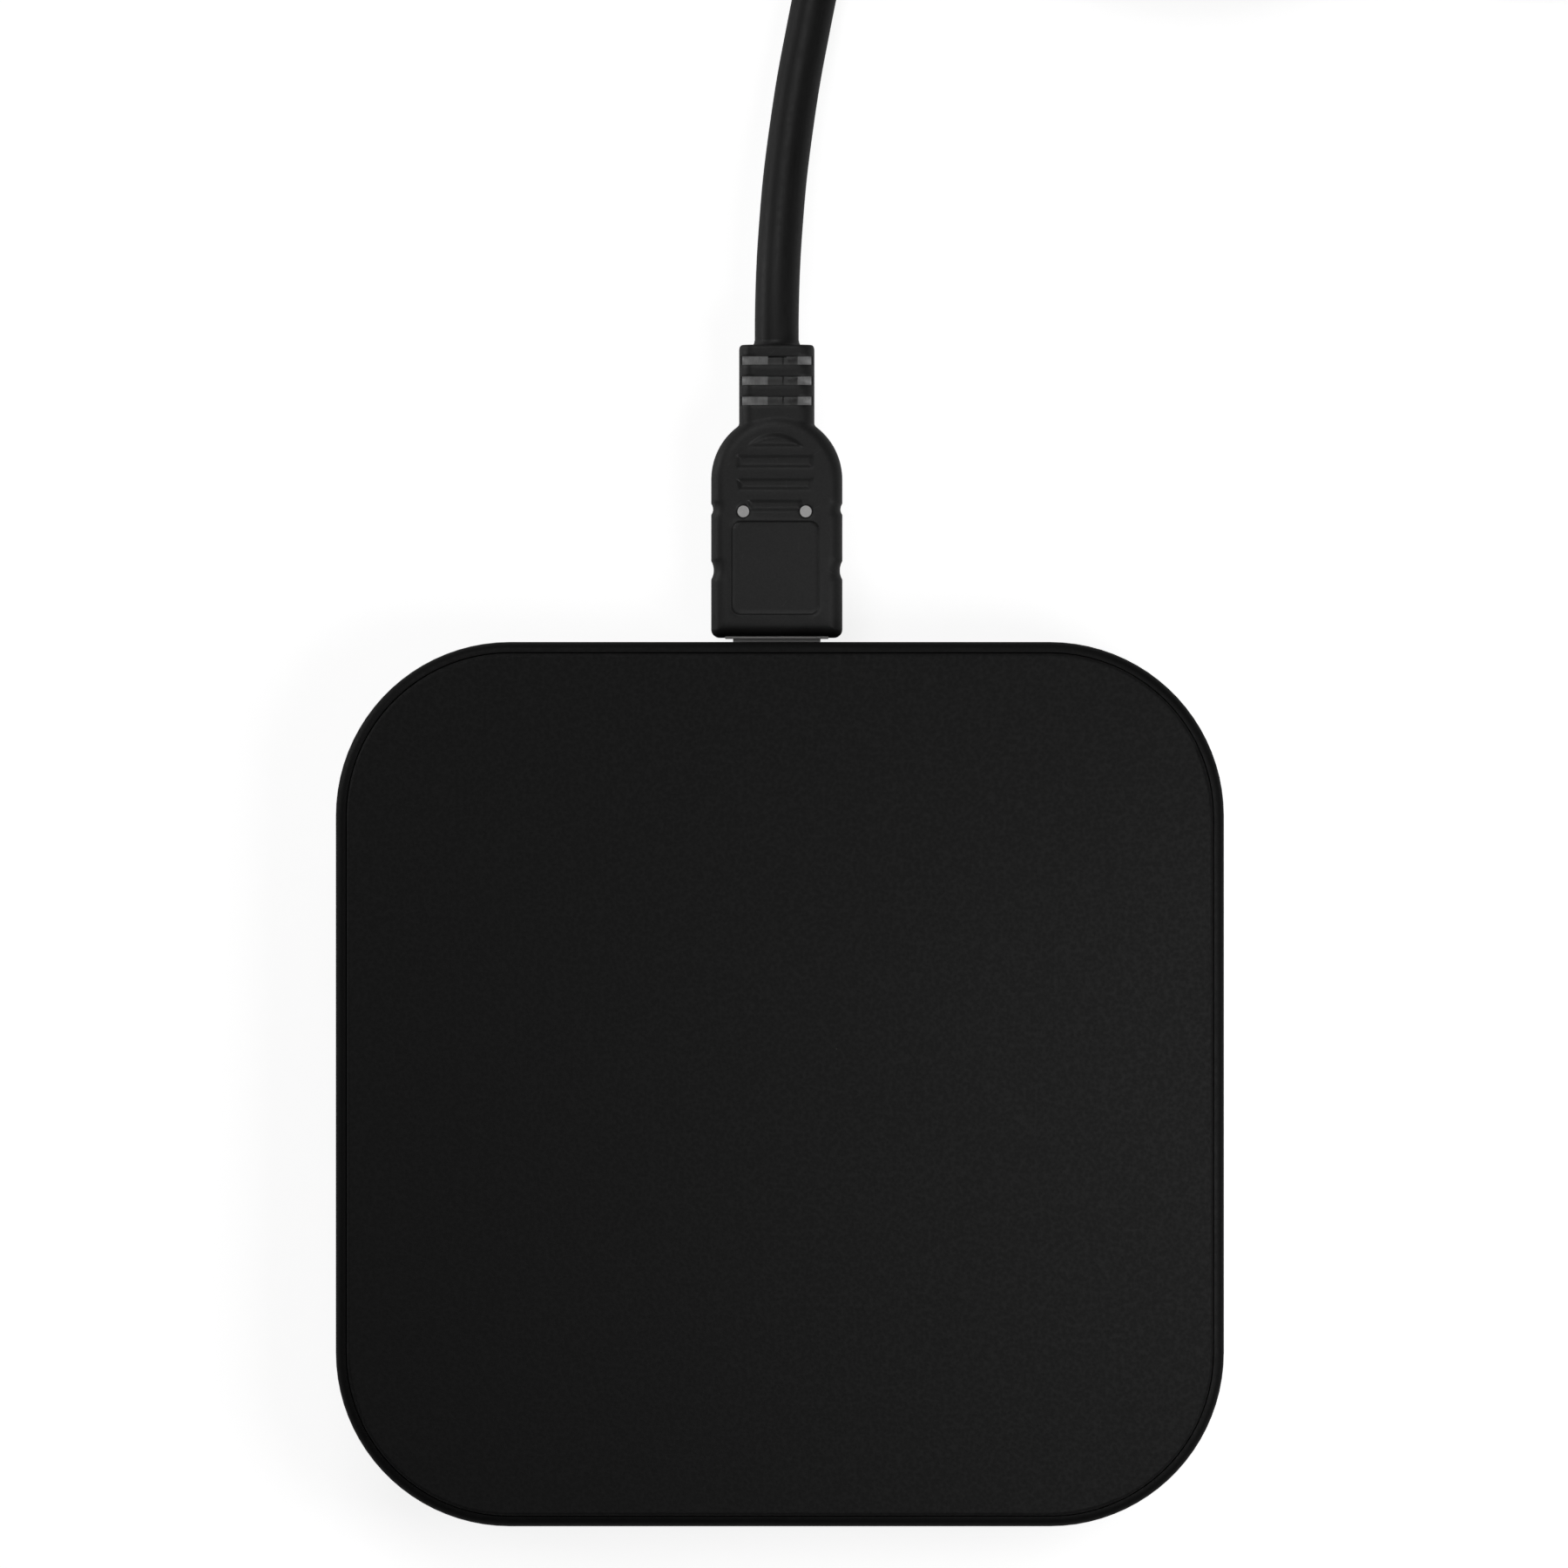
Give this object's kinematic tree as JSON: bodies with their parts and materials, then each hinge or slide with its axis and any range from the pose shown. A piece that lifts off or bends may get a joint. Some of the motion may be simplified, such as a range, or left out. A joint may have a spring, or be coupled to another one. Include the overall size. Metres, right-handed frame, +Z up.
{
  "type": "streaming media player",
  "caption": "Low square streaming box with large corner radii, a grained top panel and rear sockets, with a plug-in video lead whose spare length is coiled.",
  "frame": {"origin": "middle of the housing, at the bottom of its rubber feet, on the table", "axes": "+Z up; +Y to the rear, where the sockets and the video lead are; +X to the right seen from the front"},
  "size_m": [0.2004, 0.3352, 0.025],
  "materials": {
    "top_plastic": "matt black, fine spark-eroded grain",
    "frame_plastic": "satin black",
    "base_plastic": "matt black",
    "foot_rubber": "matt dark grey",
    "screw_steel": "blackened steel",
    "window_plastic": "gloss smoked red-black",
    "clear_plastic": "clear moulded",
    "board": "green solder mask",
    "bright_steel": "zinc plated",
    "cooler_metal": "extruded, clear",
    "white_plastic": "natural white",
    "pad_rubber": "soft, pale blue",
    "chip_black": "moulding compound",
    "tin_can": "tinned",
    "antenna_gold": "gold flash",
    "lead_black": "satin",
    "ferrite": "pressed ferrite",
    "cap_metal": "satin can",
    "lens_black": "gloss, dark",
    "lamp": "milky",
    "socket_steel": "nickel plated",
    "socket_black": "satin black",
    "contact_gold": "gold flash",
    "button_plastic": "dark grey",
    "plug_vinyl": "matt moulded vinyl, fine grain",
    "plug_metal": "nickel plated",
    "inner_mold": "smooth grey",
    "cord_vinyl": "satin black jacket",
    "tie_fabric": "black hook-and-loop tape"
  },
  "bodies": {
    "housing": {"top_panel": "top_plastic", "side_frame": "frame_plastic", "base_cover": "base_plastic", "rubber_feet": "foot_rubber", "case_screws": "screw_steel", "front_window": "window_plastic", "light_pipe": "clear_plastic", "main_board": "board", "board_screws": "bright_steel", "heat_sink": "cooler_metal", "heat_sink_pins": "white_plastic", "thermal_pad": "pad_rubber", "processor": "chip_black", "memory_chips": "chip_black", "storage_chip": "chip_black", "wireless_module": "tin_can", "left_antenna": "antenna_gold", "right_antenna": "antenna_gold", "antenna_leads": "lead_black", "power_inductors": "ferrite", "capacitors": "cap_metal", "ir_receiver": "lens_black", "status_led": "lamp", "video_socket": "socket_steel", "video_socket_tongue": "socket_black", "network_socket": "socket_steel", "network_contacts": "contact_gold", "data_socket": "socket_steel", "data_socket_tongue": "white_plastic", "power_inlet": "socket_black", "power_inlet_pin": "bright_steel", "reset_switch": "chip_black"},
    "reset_button": {"reset_button": "button_plastic"},
    "video_lead": {"plug_overmold": "plug_vinyl", "plug_can": "plug_metal", "plug_inner_mold": "inner_mold", "plug_shell": "plug_metal", "plug_insert": "socket_black", "cord_lead": "cord_vinyl", "cord_coil": "cord_vinyl", "cord_tail": "cord_vinyl", "cable_ties": "tie_fabric", "far_plug_overmold": "plug_vinyl", "far_plug_can": "plug_metal", "far_plug_inner_mold": "inner_mold", "far_plug_shell": "plug_metal", "far_plug_insert": "socket_black"}
  },
  "joints": [
    {"name": "reset_press", "type": "slide", "parent": "housing", "child": "reset_button", "axis": [0, -1, 0], "range_m": [0, 0.0004], "stiffness_N_per_m": 800},
    {"name": "plug_pull", "type": "slide", "parent": "housing", "child": "video_lead", "axis": [0, 1, 0], "range_m": [0, 0.012]}
  ]
}
